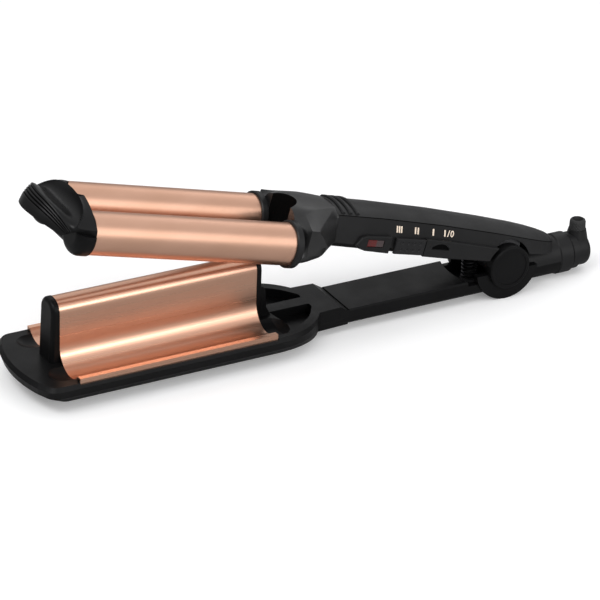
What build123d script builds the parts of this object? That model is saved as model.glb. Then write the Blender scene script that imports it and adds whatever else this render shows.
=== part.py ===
from build123d import *
from math import atan2, cos, degrees, radians, sin, sqrt
import os

# Hair waver: two heated barrels on an upper arm close into a heated wave plate on a lower arm.
# Millimetres. X runs along the lower arm, nose at -X and cord at +X; the switch side is -Y; +Z up.
# The part frame starts on the resting plane, halfway along the overall length.
# The functions work in the hinge frame, whose origin is on the hinge axis: H below moves them.

# --- hinge ---
HINGE_HEIGHT = 19.2          # hinge axis above the resting plane
OPENING_ANGLE = 14.7         # degrees between the arms at rest
PIN_RADIUS = 2.5
PIN_CLEARANCE = 0.06         # radial, pin in the turning lug
PRESS_CLEARANCE = 0.01       # radial, pin in the fixed cheeks
CHEEK_RADIUS = 12.0
CHEEK_INNER = 12.2           # half distance between the two cheeks
CHEEK_OUTER = 15.8
BOSS_RADIUS = HINGE_HEIGHT   # the round belly of the lower knuckle stands on the resting plane
LUG_RADIUS = 8.6
LUG_GAP = 0.7                # around the lug and beside it
DISC_RADIUS = 12.1
DISC_THICKNESS = 2.8
DISC_GAP = 0.15
DISC_RELIEF = 14.4           # radius cut from the handle walls around the discs

# --- barrels on the upper arm ---
BARREL_DIAMETER = 22.0
BARREL_WALL = 1.0
BARREL_LENGTH = 116.0
BARREL_PITCH = 38.4
BARREL_REAR = 145.1          # hinge axis to the rear end of the barrels
BARREL_LIFT = 6.8            # barrel axes above the hinge axis when the arms are closed
COLLAR_LENGTH = 3.6
COLLAR_PROUD = 1.3
SPIGOT_LENGTH = 7.0
SPIGOT_GAP = 0.1

# --- wave plate on the lower arm ---
HAIR_GAP = 1.0               # between a closed barrel and its trough
SHEET = 1.2
RIDGE_TOP = 30.0             # above the hinge axis
RIDGE_ROUND = 6.0
PLATE_FRONT = 259.4
PLATE_LENGTH = 111.4
LIP_Z = -0.6
LIP_HALF = 31.5
FLANGE_DROP = 3.0
CAP_NOSE_LENGTH = 5.4
CAP_TAIL_LENGTH = 3.0
CAP_LEAN = 1.6               # the nose end of the ridge leans back so that the cool tip swings past it
CAP_PROUD = 0.3
CLOSED_GAP = 1.0             # ridge caps to the upper arm when closed
DISH_RUN = 3.8               # troughs run on into the nose before they close

# --- lower housing ---
HULL_HALF = 33.2
HULL_NOSE = 283.0
HULL_SHOULDER = 147.0        # where the hull starts to narrow
HULL_NECK = 114.0            # where it has become the arm
HULL_CORNER_X = 270.0
DECK_Z = -2.8
SEAM_Z = -9.5                # joint between plate frame and lower shell
HULL_DRAFT = 1.5
RIM_Z = -5.0
RIM_BEVEL = 1.6
BILGE_Z = -14.2              # the underside is rounded between seam and flat
BILGE_HALF = 27.2
BILGE_NOSE = 274.3
FLAT_HALF = 15.5             # half width of the flat underside
FLAT_NOSE = 263.0
STERN_X = 125.0              # the underside rises to the arm behind here
SHELL = 2.2
ARM_HALF = 14.8
ARM_TOP = -5.5
ARM_BOTTOM = -14.6
ARM_COVER = 2.4
DECK_END = 102.0
RAMP_END = 96.6
SPINE_HALF = 4.0             # between the two leaf hollows behind the wave plate
LEAF_DEPTH = 5.3
COVER_END = 23.6

# --- tail and cord swivel ---
TAIL_Z = -7.8
TAIL_RADIUS = 10.6
TAIL_WALL = 2.0
TAIL_GAP = 0.45              # tail to the hollow of the handle when open
RING_RADIUS = 11.2
RING_START = 38.0
RING_LENGTH = 8.0
SWIVEL_RADIUS = 10.2
SWIVEL_START = 46.4
SWIVEL_LENGTH = 4.4
SWIVEL_NECK = 6.5
SWIVEL_GAP = 0.3
END_CAP_RADIUS = 9.2
END_CAP_LENGTH = 8.6
BOOT_X = 54.2
BOOT_RADIUS = 4.4
BOOT_TIP_RADIUS = 3.8
BOOT_TOP = 10.2
BOOT_SEAT = 4.4               # top of the saddle that the boot stands on
SADDLE_RADIUS = 7.6          # where the saddle meets the axis of the tail
CORD_RADIUS = 2.8
CORD_WAY = 4.4

# --- handle of the upper arm ---
HANDLE_FRONT = 113.5
HANDLE_HALF = 16.0
HANDLE_WALL = 2.0
SIDE_DRAFT = 3.2             # the sides lean in towards the joint line
SHOULDER_FRONT = BARREL_REAR - COLLAR_LENGTH
SHOULDER_MID = 129.0
SCREW_HEAD = 2.4
RIB_RADIUS = 27.5            # arch of the grip ribs
RIB_PITCH = 4.4
RIB_WIDTH = 2.2
RIB_PROUD = 1.2

# --- switch bank on the near side ---
BANK_PROUD = 1.7
SLIDER_FRONT = 76.7
SLIDER_LENGTH = 18.6
SLIDER_TRAVEL = 3.2
SLIDER_LOW = 3.9
SLIDER_HIGH = 12.6
SLIDER_GAP = 0.25
STEM_LENGTH = 4.0
STEM_HEIGHT = 3.0
STEM_Z = 8.2
WINDOW_FRONT = 94.6
WINDOW_LENGTH = 10.4
WINDOW_LOW = 7.0
WINDOW_HEIGHT = 4.2

# --- nose of the upper arm ---
CUP_PROUD = 0.6
CUP_LENGTH = 9.0
NOSE_ARCH_AXIS = -22.0       # height of the axis that the thumb rest curves about
NOSE_CROWN = 22.9
LEDGE_Z = 8.8                # joint between cool tip and nose cap
VISOR_HALF = 21.6
BAY_HALF = 9.4               # half width of the bay for the ridge end
BAY_GAP = 0.8
PLAN_RADIUS = 26.0
PLAN_CENTRE = 260.8

# --- opening spring ---
SPRING_X = -14.0
SPRING_RADIUS = 4.1
SPRING_WIRE = 1.1
SPRING_TURNS = 6
SPRING_FLOOR = -11.8
SPRING_TOP = 3.0
SEAT_TOP = 2.6
SEAT_FACE = 0.7

# --- worked out ---
BARREL_RADIUS = BARREL_DIAMETER / 2
BARREL_Y = BARREL_PITCH / 2
BARREL_FRONT = BARREL_REAR + BARREL_LENGTH
TROUGH_RADIUS = BARREL_RADIUS + HAIR_GAP
RIDGE_HALF = BARREL_Y - TROUGH_RADIUS
PLATE_REAR = PLATE_FRONT - PLATE_LENGTH
RIDGE_NOSE = PLATE_FRONT + CAP_NOSE_LENGTH
RIDGE_TAIL = PLATE_REAR - CAP_TAIL_LENGTH
FLANGE_FOOT = LIP_Z - FLANGE_DROP
REST_Z = -HINGE_HEIGHT
TAIL_END = SWIVEL_START + SWIVEL_LENGTH + END_CAP_LENGTH
HINGE_X = (HULL_NOSE - TAIL_END) / 2

H = Location((HINGE_X, 0, HINGE_HEIGHT))
OPEN = H * Rot(0, OPENING_ANGLE, 0)


def box(x0, x1, y0, y1, z0, z1):
    """A box from its six bounds."""
    return Pos((x0 + x1) / 2, (y0 + y1) / 2, (z0 + z1) / 2) * Box(x1 - x0, y1 - y0, z1 - z0)


def rod(x0, x1, y, z, radius):
    """A round bar along X."""
    return Pos((x0 + x1) / 2, y, z) * Rot(0, 90, 0) * Cylinder(radius, x1 - x0)


def tube(x0, x1, y, z, outer, inner):
    """A round tube along X."""
    return rod(x0, x1, y, z, outer) - rod(x0 - 1, x1 + 1, y, z, inner)


def across(x, z, radius, y0, y1):
    """A round bar along Y."""
    return Pos(x, (y0 + y1) / 2, z) * Rot(90, 0, 0) * Cylinder(radius, y1 - y0)


def side_plate(points, y0, y1):
    """An outline drawn in the XZ plane and carried from y0 to y1."""
    outline = make_face(Polyline(*points, close=True))
    return Pos(0, y1, 0) * extrude(Plane.XZ * outline, y1 - y0)


# ---------------------------------------------------------------- wave plate

def ridge_outline(inset, foot):
    """The round-topped section of the middle ridge in YZ, drawn in by inset."""
    half = RIDGE_HALF - inset
    top = RIDGE_TOP - inset
    radius = RIDGE_ROUND - inset
    corner = radius * (1 - sqrt(0.5))
    line = Line((-half, foot), (-half, top - radius))
    left = ThreePointArc((-half, top - radius), (-half + corner, top - corner), (-half + radius, top))
    roof = Line((-half + radius, top), (half - radius, top))
    right = ThreePointArc((half - radius, top), (half - corner, top - corner), (half, top - radius))
    down = Line((half, top - radius), (half, foot))
    base = Line((half, foot), (-half, foot))
    return make_face([line, left, roof, right, down, base])


def yz_solid(face, x0, x1):
    """A section drawn in YZ carried along X from x0 to x1."""
    return Pos(x0, 0, 0) * extrude(Plane.YZ * face, x1 - x0)


def plate_body(inset, foot, x0, x1):
    """Everything under the working surface of the wave plate, drawn in by inset, down to foot."""
    lip = LIP_HALF - inset
    roof = LIP_Z - inset
    slab = box(x0, x1, -lip, lip, foot, roof)
    spine = yz_solid(ridge_outline(inset, foot), x0, x1)
    reach = TROUGH_RADIUS + inset
    web = box(x0, x1, -BARREL_Y, BARREL_Y, foot, BARREL_LIFT)
    solid = slab + web + spine
    for side in (-1, 1):
        solid -= rod(x0 - 1, x1 + 1, side * BARREL_Y, BARREL_LIFT, reach)
    return solid


def wave_plate():
    """The copper coloured sheet: lip, trough, ridge, trough, lip."""
    floor = BARREL_LIFT - TROUGH_RADIUS - SHEET
    x0, x1 = -PLATE_FRONT, -PLATE_REAR
    sheet = plate_body(0, floor, x0, x1)
    sheet -= plate_body(SHEET, floor - 1, x0 - 1, x1 + 1)
    for side in (-1, 1):
        sheet -= box(x0 - 1, x1 + 1, *sorted((side * (LIP_HALF - SHEET - 1), side * 40)), -12, FLANGE_FOOT)
    return sheet


def ridge_core():
    """Aluminium block that fills the ridge and carries the heat up it."""
    gap = SHEET + 0.15
    core = yz_solid(ridge_outline(gap, -2.4), -PLATE_FRONT + 4, -PLATE_REAR - 4)
    return core - rod(-PLATE_FRONT, -PLATE_REAR, 0, RIDGE_TOP / 2, 2.6)


def ridge_heater():
    """Round ceramic heater in the bore of the ridge core."""
    return rod(-PLATE_FRONT + 12, -PLATE_REAR - 12, 0, RIDGE_TOP / 2, 2.5)


def trough_heater(side):
    """Flat heater strip under one trough."""
    top = BARREL_LIFT - TROUGH_RADIUS - SHEET - 0.1
    y = side * BARREL_Y
    return box(-PLATE_FRONT + 10, -PLATE_REAR - 10, y - 4.5, y + 4.5, top - 1.6, top)


def insulation_sheet():
    """Mica sheet between the heaters and the lower shell."""
    top = BARREL_LIFT - TROUGH_RADIUS - SHEET - 1.8
    return box(-PLATE_FRONT + 7, -PLATE_REAR - 7, -26, 26, top - 0.8, top)


def plate_thermostat():
    """Thermal cut-out clipped between the heater strips."""
    top = BARREL_LIFT - TROUGH_RADIUS - SHEET - 0.1
    can = Pos(-PLATE_REAR - 40, 0, top - 0.8) * Cylinder(4.2, 1.6)
    return can + box(-PLATE_REAR - 48, -PLATE_REAR - 32, -1.5, 1.5, top - 1.6, top - 1.1)


# ---------------------------------------------------------------- lower housing

def hull_face(half, nose, corner_x, neck):
    """Plan outline of the plate housing: bowed nose, round corners, straight sides, waisted rear."""
    bow = 3.6
    cx = nose - bow
    cy = half - 9
    edges = [
        ThreePointArc((-cx, -cy), (-nose, 0), (-cx, cy)),
        Spline((-cx, cy), (-corner_x, half), tangents=((0.55, 1), (1, 0))),
        Line((-corner_x, half), (-HULL_SHOULDER, half)),
        Spline((-HULL_SHOULDER, half), (-HULL_NECK - 1, neck + 1), tangents=((1, 0), (0.7, -1))),
        Line((-HULL_NECK - 1, neck + 1), (-RAMP_END, neck)),
        Line((-RAMP_END, neck), (-RAMP_END, -neck)),
        Line((-RAMP_END, -neck), (-HULL_NECK - 1, -neck - 1)),
        Spline((-HULL_NECK - 1, -neck - 1), (-HULL_SHOULDER, -half), tangents=((-0.7, -1), (-1, 0))),
        Line((-HULL_SHOULDER, -half), (-corner_x, -half)),
        Spline((-corner_x, -half), (-cx, -cy), tangents=((-1, 0), (-0.55, 1))),
    ]
    return make_face(edges)


def hull_ring(inset):
    """The plan outline drawn in by inset."""
    return hull_face(HULL_HALF - inset, HULL_NOSE - inset, HULL_CORNER_X - inset * 0.2, ARM_HALF)


def hull_bowl(inset):
    """The lower shell's body: the outline at the seam curves in to the flat underside."""
    rise = inset * 0.9
    rings = (
        (SEAM_Z, HULL_HALF - HULL_DRAFT, HULL_NOSE - HULL_DRAFT, HULL_CORNER_X, ARM_HALF),
        (BILGE_Z + rise * 0.4, BILGE_HALF, BILGE_NOSE, BILGE_NOSE - 11.0, ARM_HALF - 1.0),
        (REST_Z + rise, FLAT_HALF + inset * 0.6, FLAT_NOSE, FLAT_NOSE - 10.0, ARM_HALF - 4.0),
    )
    faces = [Pos(0, 0, z) * hull_face(half - inset, nose - inset, corner - inset * 0.2, neck - inset)
             for z, half, nose, corner, neck in rings]
    bowl = loft(faces, ruled=True)
    keel = ARM_BOTTOM + rise
    stern = [(-STERN_X, REST_Z - 1), (-STERN_X + 7, keel), (-80, keel), (-80, REST_Z - 1)]
    return bowl - side_plate(stern, -40, 40)


def knuckle():
    """Round belly of the lower arm under the hinge, with its two cheeks."""
    belly = across(0, 0, BOSS_RADIUS, -CHEEK_OUTER, CHEEK_OUTER)
    belly -= box(-30, 30, -20, 20, -3.0, 30)
    cheeks = across(0, 0, CHEEK_RADIUS, -CHEEK_OUTER, CHEEK_OUTER)
    return belly + cheeks


def arm_beam():
    """The straight arm between housing and hinge, a beam with rounded lower edges."""
    beam = box(-HULL_NECK - 6, -6, -ARM_HALF, ARM_HALF, ARM_BOTTOM, ARM_TOP - ARM_COVER)
    lower = beam.edges().filter_by(Axis.X).group_by(Axis.Z)[0]
    beam = fillet(lower, 3.5)
    return beam - box(-HULL_NECK - 7, -RAMP_END, -20, 20, SEAM_Z, 0)


def lower_shell():
    """Lower housing moulding: bowl, arm channel, knuckle and the lower half of the tail."""
    bowl = hull_bowl(0) - hull_bowl(SHELL)
    bowl -= box(-HULL_NECK - 2, 0, -ARM_HALF + SHELL, ARM_HALF - SHELL, ARM_BOTTOM + SHELL, 0)
    beam = arm_beam()
    beam -= box(-HULL_NECK - 20, -22, -ARM_HALF + SHELL, ARM_HALF - SHELL, ARM_BOTTOM + SHELL, 0)
    shell = bowl + (beam - hull_bowl(0)) + knuckle()
    shell -= box(-24, -2, -CHEEK_INNER, CHEEK_INNER, SPRING_FLOOR, 30)
    shell -= across(0, 0, LUG_RADIUS + LUG_GAP, -CHEEK_INNER, CHEEK_INNER)
    shell -= box(-20, 30, -CHEEK_INNER, CHEEK_INNER, 0, 30)
    shell -= box(0, 40, -CHEEK_INNER, CHEEK_INNER, TAIL_Z, 30)
    shell -= across(0, 0, PIN_RADIUS + PRESS_CLEARANCE, -30, 30)
    shell += tail_half(-1)
    boss = ARM_TOP - ARM_COVER - ARM_BOTTOM
    for x in SCREW_PLACES:
        shell += Pos(x, 0, ARM_BOTTOM + boss / 2) * Cylinder(3.4, boss)
        shell -= Pos(x, 0, ARM_BOTTOM + 1) * Cylinder(SCREW_HEAD + 0.2, 2)
        shell -= Pos(x, 0, ARM_BOTTOM) * Cylinder(1.3, 40)
    return shell


SCREW_PLACES = (-88.0, -40.0)


def tail_half(side):
    """Half of the round tail behind the hinge; the tail is split along its length."""
    start = 10.0 if side > 0 else 12.0
    half = tube(start, RING_START, 0, TAIL_Z, TAIL_RADIUS, TAIL_RADIUS - TAIL_WALL)
    keep = box(start - 1, RING_START + 1, -20, 20, TAIL_Z, 30)
    half = half & keep if side > 0 else half - keep
    if side > 0:
        half -= across(0, 0, LUG_RADIUS + LUG_GAP + 1.5, -20, 20)
    return half


def plate_frame():
    """Upper moulding of the plate housing: nose deck, side rails, rear deck and both ridge caps."""
    rings = ((SEAM_Z, HULL_DRAFT), (RIM_Z, 0), (DECK_Z, RIM_BEVEL))
    slab = loft([Pos(0, 0, z) * hull_ring(inset) for z, inset in rings], ruled=True)
    slab -= side_plate([(-DECK_END, DECK_Z + 1), (-DECK_END, DECK_Z), (-RAMP_END - 0.1, ARM_TOP - 0.6),
                        (-RAMP_END + 5, ARM_TOP - 0.6), (-RAMP_END + 5, DECK_Z + 1)], -20, 20)
    well = LIP_HALF - SHEET - 0.8
    slab -= box(-PLATE_FRONT, -PLATE_REAR, -well, well, SEAM_Z - 1, 0)
    slab -= box(-PLATE_FRONT, -PLATE_REAR, -40, 40, FLANGE_FOOT, 0)
    slab -= box(-HULL_NECK - 3, -RAMP_END + 1, -ARM_HALF + 4, ARM_HALF - 4, SEAM_Z - 1, SEAM_Z + 2)
    for side in (-1, 1):
        y = side * BARREL_Y
        slab -= Pos(0, y, BARREL_LIFT) * trough_end()
        slab -= Pos(0, y, BARREL_LIFT) * trough_rear()
        slab -= leaf_hollow(side)
    return slab + ridge_cap_nose() + ridge_cap_tail()


def trough_end():
    """Cutter for the round front end of a trough, about the X axis."""
    x0, x1 = -PLATE_FRONT, -PLATE_FRONT - DISH_RUN
    middle = TROUGH_RADIUS * sqrt(0.5)
    profile = make_face([
        Line((x0, 0), (x0, TROUGH_RADIUS)),
        Line((x0, TROUGH_RADIUS), (x1, TROUGH_RADIUS)),
        ThreePointArc((x1, TROUGH_RADIUS), (x1 - middle, middle), (x1 - TROUGH_RADIUS, 0)),
        Line((x1 - TROUGH_RADIUS, 0), (x0, 0)),
    ])
    return revolve(profile, Axis.X)


def trough_rear():
    """Cutter behind the wave plate, where the collars sink in when the arms close."""
    radius = BARREL_RADIUS + COLLAR_PROUD + CLOSED_GAP
    x0, x1 = -PLATE_REAR, -SHOULDER_FRONT + 1
    profile = make_face([
        Line((x0, 0), (x0, radius)),
        Line((x0, radius), (x1, radius)),
        ThreePointArc((x1, radius), (x1 + 4.2, radius * 0.72), (x1 + 6.0, 0)),
        Line((x1 + 6.0, 0), (x0, 0)),
    ])
    return revolve(profile, Axis.X)


def leaf_hollow(side):
    """Leaf-shaped recess beside the spine, behind the wave plate."""
    inner = Line((-138.6, SPINE_HALF), (-115.4, SPINE_HALF))
    tip = ThreePointArc((-115.4, SPINE_HALF), (-115.0, 6.0), (-116.6, 9.6))
    outer = ThreePointArc((-116.6, 9.6), (-124.1, 18.7), (-135.6, 24.9))
    back = Line((-135.6, 24.9), (-138.6, SPINE_HALF))
    leaf = extrude(make_face([inner, tip, outer, back]), 8)
    leaf = Pos(0, 0, DECK_Z - LEAF_DEPTH) * leaf
    return leaf if side > 0 else mirror(leaf, Plane.XZ)


def ridge_cap_nose():
    """Moulded front end of the ridge, a hair proud of the sheet and rounded forward."""
    block = yz_solid(ridge_outline(-CAP_PROUD, SEAM_Z), -RIDGE_NOSE, -PLATE_FRONT)
    top = -RIDGE_NOSE + CAP_LEAN
    block -= side_plate([(-RIDGE_NOSE - 9, SEAM_Z - 9), (-RIDGE_NOSE, SEAM_Z), (top, RIDGE_TOP),
                         (top, RIDGE_TOP + 9), (-RIDGE_NOSE - 9, RIDGE_TOP + 9)], -20, 20)
    face = block.faces().filter_by(lambda f: f.normal_at().X < -0.9).sort_by(SortBy.AREA)[-1]
    return fillet(face.edges().filter_by(lambda e: e.center().Z > SEAM_Z + 1), 2.2)


def ridge_cap_tail():
    """Moulded rear end of the ridge with the stepped foot that runs out into the spine."""
    block = yz_solid(ridge_outline(-CAP_PROUD, SEAM_Z), -PLATE_REAR, -RIDGE_TAIL)
    back = block.edges().group_by(Axis.X)[-1].filter_by(lambda e: e.center().Z > 16)
    block = fillet(back, 1.4)
    foot = side_plate([(-RIDGE_TAIL - 1, SEAM_Z + 0.2), (-RIDGE_TAIL - 1, 14.5), (-RIDGE_TAIL + 1.2, 14.2),
                       (-RIDGE_TAIL + 2.6, 12.0), (-RIDGE_TAIL + 3.4, 2.0), (-RIDGE_TAIL + 6.0, DECK_Z),
                       (-RIDGE_TAIL + 6.0, SEAM_Z + 0.2)], -RIDGE_HALF + 0.8, RIDGE_HALF - 0.8)
    return block + foot


def arm_cover():
    """Flat lid of the arm, hollowed at its end for the spring."""
    reach = 2.6
    lid = make_face([
        Line((-RAMP_END, -ARM_HALF), (-RAMP_END, ARM_HALF)),
        Line((-RAMP_END, ARM_HALF), (-COVER_END, ARM_HALF)),
        ThreePointArc((-COVER_END, ARM_HALF), (-COVER_END - reach, 0), (-COVER_END, -ARM_HALF)),
        Line((-COVER_END, -ARM_HALF), (-RAMP_END, -ARM_HALF)),
    ])
    lid = Pos(0, 0, ARM_TOP - ARM_COVER) * extrude(lid, ARM_COVER)
    lid = chamfer(lid.edges().group_by(Axis.Z)[-1].filter_by(Axis.X), 0.8)
    for x in SCREW_PLACES:
        lid -= Pos(x, 0, ARM_TOP - ARM_COVER) * Cylinder(1.3, 2.4)
    return lid


def housing_screws():
    """Screws from below through the arm, as one group."""
    screws = []
    for x in SCREW_PLACES:
        head = Pos(x, 0, ARM_BOTTOM + 1.2) * Cylinder(SCREW_HEAD, 1.4)
        shank = Pos(x, 0, ARM_BOTTOM + 4.1) * Cylinder(1.25, 5.6)
        slot = box(x - 1.6, x + 1.6, -0.35, 0.35, ARM_BOTTOM, ARM_BOTTOM + 0.9)
        screws.append(head + shank - slot)
    return Compound(screws)


def hinge_pin():
    """Steel pin through cheeks and lug."""
    return across(0, 0, PIN_RADIUS, -CHEEK_OUTER, CHEEK_OUTER)


def pivot_disc(side):
    """Round cover of the hinge, with a bevelled rim and a shallow dished face."""
    y0 = CHEEK_OUTER + DISC_GAP
    disc = across(0, 0, DISC_RADIUS, y0, y0 + DISC_THICKNESS)
    disc = chamfer(disc.edges().group_by(Axis.Y)[-1], 0.7)
    disc -= across(0, 0, DISC_RADIUS - 2.2, y0 + DISC_THICKNESS - 0.35, y0 + DISC_THICKNESS + 1)
    disc += across(0, 0, PIN_RADIUS, CHEEK_OUTER, y0 + 0.1)
    return disc if side > 0 else mirror(disc, Plane.XZ)


def spring_post():
    """Post on the pocket floor that holds the foot of the spring."""
    foot = Pos(SPRING_X, 0, SPRING_FLOOR + 0.5) * Cylinder(SPRING_RADIUS + 0.9, 1.0)
    stem = Pos(SPRING_X, 0, SPRING_FLOOR + 2.2) * Cylinder(SPRING_RADIUS - SPRING_WIRE, 3.0)
    return foot + stem


def opening_spring():
    """Coil spring between the arms that holds the waver open."""
    foot = SPRING_FLOOR + 1.0 + SPRING_WIRE / 2 + 0.05
    height = SPRING_TOP - SPRING_WIRE / 2 - foot
    path = Pos(SPRING_X, 0, foot) * Helix(height / SPRING_TURNS, height, SPRING_RADIUS)
    start = Plane(origin=path @ 0, z_dir=path % 0)
    return sweep(start * RegularPolygon(SPRING_WIRE / 2, 6), path, is_frenet=True)


# ---------------------------------------------------------------- tail and swivel

def tail_ring():
    """Collar that clamps the two tail halves and holds the swivel."""
    ring = tube(RING_START, RING_START + RING_LENGTH, 0, TAIL_Z, RING_RADIUS, SWIVEL_NECK + SWIVEL_GAP)
    front_edges = ring.edges().group_by(Axis.X)[0].filter_by(GeomType.CIRCLE)
    ring = chamfer(front_edges.sort_by(SortBy.LENGTH)[-1], 0.6)
    return ring - rod(RING_START - 1, RING_START + 4, 0, TAIL_Z, SWIVEL_NECK + 1.6 + SWIVEL_GAP)


def swivel_body():
    """Turning drum on a neck that is trapped by the tail ring."""
    drum = rod(SWIVEL_START, SWIVEL_START + SWIVEL_LENGTH, 0, TAIL_Z, SWIVEL_RADIUS)
    drum = chamfer(drum.edges().group_by(Axis.X)[0], 0.8)
    neck = rod(RING_START + 1.2, SWIVEL_START + 1, 0, TAIL_Z, SWIVEL_NECK)
    flange = rod(RING_START + 1.2, RING_START + 3.6, 0, TAIL_Z, SWIVEL_NECK + 1.4)
    return drum + neck + flange - rod(RING_START, TAIL_END, 0, TAIL_Z, CORD_WAY)


def swivel_cap():
    """Rounded end of the swivel; a tapered saddle on it carries the boot."""
    x0 = SWIVEL_START + SWIVEL_LENGTH
    cap = rod(x0, TAIL_END, 0, TAIL_Z, END_CAP_RADIUS)
    cap = fillet(cap.edges().group_by(Axis.X)[-1], 3.2)
    rise = BOOT_SEAT - TAIL_Z
    saddle = Pos(BOOT_X, 0, TAIL_Z + rise / 2) * Cone(SADDLE_RADIUS, BOOT_RADIUS + 0.5, rise)
    saddle &= box(x0 - 2.0, TAIL_END - 0.6, -20, 20, TAIL_Z, BOOT_SEAT)
    cap += saddle - rod(x0 - 9, x0, 0, TAIL_Z, SWIVEL_RADIUS)
    cap -= rod(x0 - 1, BOOT_X, 0, TAIL_Z, CORD_WAY) + Pos(BOOT_X, 0, TAIL_Z) * Sphere(CORD_WAY)
    return cap - Pos(BOOT_X, 0, TAIL_Z + 10) * Cylinder(BOOT_RADIUS - 0.9, 20)


def cord_boot():
    """Tapered strain relief sleeve that stands on the swivel, bored for the cord."""
    foot = TAIL_Z + CORD_WAY
    root = BOOT_RADIUS - 1.0
    tip = BOOT_TIP_RADIUS
    profile = make_face([
        Line((CORD_RADIUS, foot), (root, foot)),
        Line((root, foot), (root, BOOT_SEAT)),
        Line((root, BOOT_SEAT), (BOOT_RADIUS, BOOT_SEAT)),
        Line((BOOT_RADIUS, BOOT_SEAT), (tip, BOOT_TOP - 1.8)),
        ThreePointArc((tip, BOOT_TOP - 1.8), (tip - 0.25, BOOT_TOP - 0.6), (CORD_RADIUS, BOOT_TOP)),
        Line((CORD_RADIUS, BOOT_TOP), (CORD_RADIUS, foot)),
    ])
    return Pos(BOOT_X, 0, 0) * revolve(Plane.XZ * profile, Axis.Z)


# ---------------------------------------------------------------- handle

HANDLE_STATIONS = (
    # x, half width, crown, seam, bottom
    (-HANDLE_FRONT, 16.0, 24.6, 21.8, 4.8),
    (-85.0, 16.0, 24.0, 21.3, 3.8),
    (-45.0, 16.0, 22.0, 19.5, 2.6),
    (-10.0, 16.0, 19.2, 16.9, 2.2),
    (12.0, 15.8, 17.0, 14.8, 2.2),
    (21.0, 14.9, 15.9, 13.8, 2.2),
    (27.0, 13.2, 15.0, 13.0, 2.2),
    (31.0, 10.8, 14.2, 12.4, 2.2),
    (33.2, 7.6, 13.3, 11.8, 2.2),
)


def handle_section(x, half, crown, seam, bottom, inset):
    """Section of the handle: flat foot, drafted sides and a low arched top, drawn in by inset."""
    w = half - inset
    ws = half - SIDE_DRAFT - inset
    corner = 3.0 - 0.58 * inset
    low = bottom + inset
    top = crown - inset
    side = seam - inset * 0.8
    edges = [
        Line((-w + corner, low), (w - corner, low)),
        Line((w - corner, low), (w, low + corner)),
        Line((w, low + corner), (ws, side)),
        ThreePointArc((ws, side), (0, top), (-ws, side)),
        Line((-ws, side), (-w, low + corner)),
        Line((-w, low + corner), (-w + corner, low)),
    ]
    return Pos(x, 0, 0) * (Plane.YZ * make_face(edges))


def handle_form(inset, stations):
    """The whole handle as one smooth body, drawn in by inset."""
    return loft([handle_section(*station, inset) for station in stations], ruled=True)


def handle_hollow_shell():
    """Handle wall with its hinge reliefs, before it is split into cover and tub."""
    outer = handle_form(0, HANDLE_STATIONS)
    inner_stations = [list(s) for s in HANDLE_STATIONS]
    inner_stations[0][0] += HANDLE_WALL
    inner = handle_form(HANDLE_WALL, inner_stations[:-2])
    shell = outer - inner
    shell -= across(0, 0, DISC_RELIEF, -30, 30)
    shell -= side_plate([(-6, -20), (-6, 2.0), (12, 7.2), (60, 7.2), (60, -20)], -30, 30)
    shell -= box(-24, 6, -13.2, 13.2, -20, 6)
    reach = TAIL_RADIUS + TAIL_GAP
    nest = rod(4, 60, 0, TAIL_Z, reach) + box(4, 60, -reach, reach, -60, TAIL_Z)
    return shell - Rot(0, -OPENING_ANGLE, 0) * nest


def below_seam():
    """Everything under the joint line between top cover and tub."""
    line = [(x, seam) for x, half, crown, seam, bottom in HANDLE_STATIONS]
    line = [(line[0][0] - 3, line[0][1])] + line + [(line[-1][0] + 6, line[-1][1])]
    return side_plate(line + [(60, -40), (-130, -40)], -40, 40)


def rib_places():
    """Positions of the three grip ribs across the front of the top cover."""
    return [-HANDLE_FRONT + 3.5 + RIB_PITCH * i for i in range(3)]


def handle_cover(shell, lower):
    """Arched top cover with three grip ribs at its front."""
    cover = shell - lower
    for x in rib_places():
        crown = 24.6 - (x + HANDLE_FRONT) * 0.021
        hoop = Cylinder(RIB_RADIUS + RIB_PROUD, RIB_WIDTH)
        hoop = chamfer(hoop.edges(), RIB_PROUD / 2)
        rib = Pos(x, 0, crown - RIB_RADIUS) * Rot(0, 90, 0) * hoop
        rib &= box(x - 2, x + 2, -11.6, 11.6, 10, 40)
        rib -= handle_form(0.3, HANDLE_STATIONS[:3])
        cover += rib
    return cover


def handle_tub(shell, lower):
    """Lower half of the handle: walls, floor, the slot for the switch stem and the window seat."""
    tub = shell & lower
    x0 = -SLIDER_FRONT + SLIDER_LENGTH / 2 - STEM_LENGTH / 2 - SLIDER_TRAVEL
    tub -= box(x0 - 0.5, x0 + SLIDER_TRAVEL + STEM_LENGTH + 0.5, -30, 0,
               STEM_Z - STEM_HEIGHT / 2 - 0.4, STEM_Z + STEM_HEIGHT / 2 + 0.4)
    tub -= box(-WINDOW_FRONT + 3, -WINDOW_FRONT + WINDOW_LENGTH - 3, -30, 0, WINDOW_LOW + 1, WINDOW_LOW + 3)
    return tub


def bank_outline():
    """Outline of the raised switch bank in XZ: swept nose, level top, foot along the handle edge."""
    return [(-101.4, 7.6), (-98.6, 11.8), (-95.4, 12.9), (-77.0, 13.4), (-57.0, 13.0), (-42.0, 12.4),
            (-10.0, 10.2), (-10.0, 2.6), (-40.0, 2.7), (-58.0, 3.2), (-77.0, 3.7), (-95.0, 4.6), (-98.8, 5.6)]


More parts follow.
